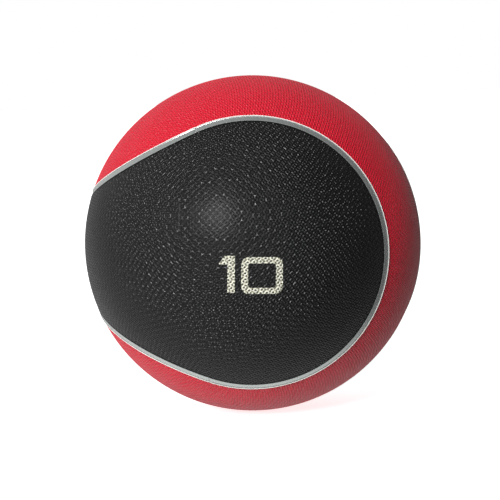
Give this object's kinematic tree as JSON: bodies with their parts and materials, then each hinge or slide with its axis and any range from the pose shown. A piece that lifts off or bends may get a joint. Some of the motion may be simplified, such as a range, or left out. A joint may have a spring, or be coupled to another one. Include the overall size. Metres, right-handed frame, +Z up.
{
  "type": "medicine ball",
  "caption": "Weighted rubber exercise ball in two colours with silver stripes, a printed weight number, an air bladder and a needle valve.",
  "frame": {"origin": "centre of the ball", "axes": "+X along the axis on which the two mould halves close, away from the valve; +Z up; -Y to the front, where the weight number is just to the +X side"},
  "size_m": [0.2289, 0.229, 0.229],
  "materials": {
    "black_rubber": "moulded rubber with a fine woven texture, satin",
    "red_rubber": "moulded rubber with a fine woven texture, satin",
    "silver_stripe": "smooth rubber painted silver grey, satin",
    "cream_ink": "thin screen-printed ink over the texture",
    "wall_rubber": "solid filled rubber, matte",
    "nylon_thread": "wound nylon thread set in latex",
    "butyl_rubber": "smooth butyl rubber",
    "valve_rubber": "soft moulded rubber, slightly glossy"
  },
  "bodies": {
    "root": {"cover_red_band": "red_rubber", "cover_black_lobe_front": "black_rubber", "cover_black_lobe_back": "black_rubber", "cover_black_band": "black_rubber", "cover_red_lobe_top": "red_rubber", "cover_red_lobe_bottom": "red_rubber", "stripe_front": "silver_stripe", "stripe_back": "silver_stripe", "stripe_top": "silver_stripe", "stripe_bottom": "silver_stripe", "digit_one": "cream_ink", "digit_zero": "cream_ink", "weighted_wall_right": "wall_rubber", "weighted_wall_left": "wall_rubber", "thread_winding": "nylon_thread", "air_bladder": "butyl_rubber", "bladder_patch": "butyl_rubber", "valve_housing": "valve_rubber", "valve_core": "valve_rubber"}
  },
  "joints": []
}
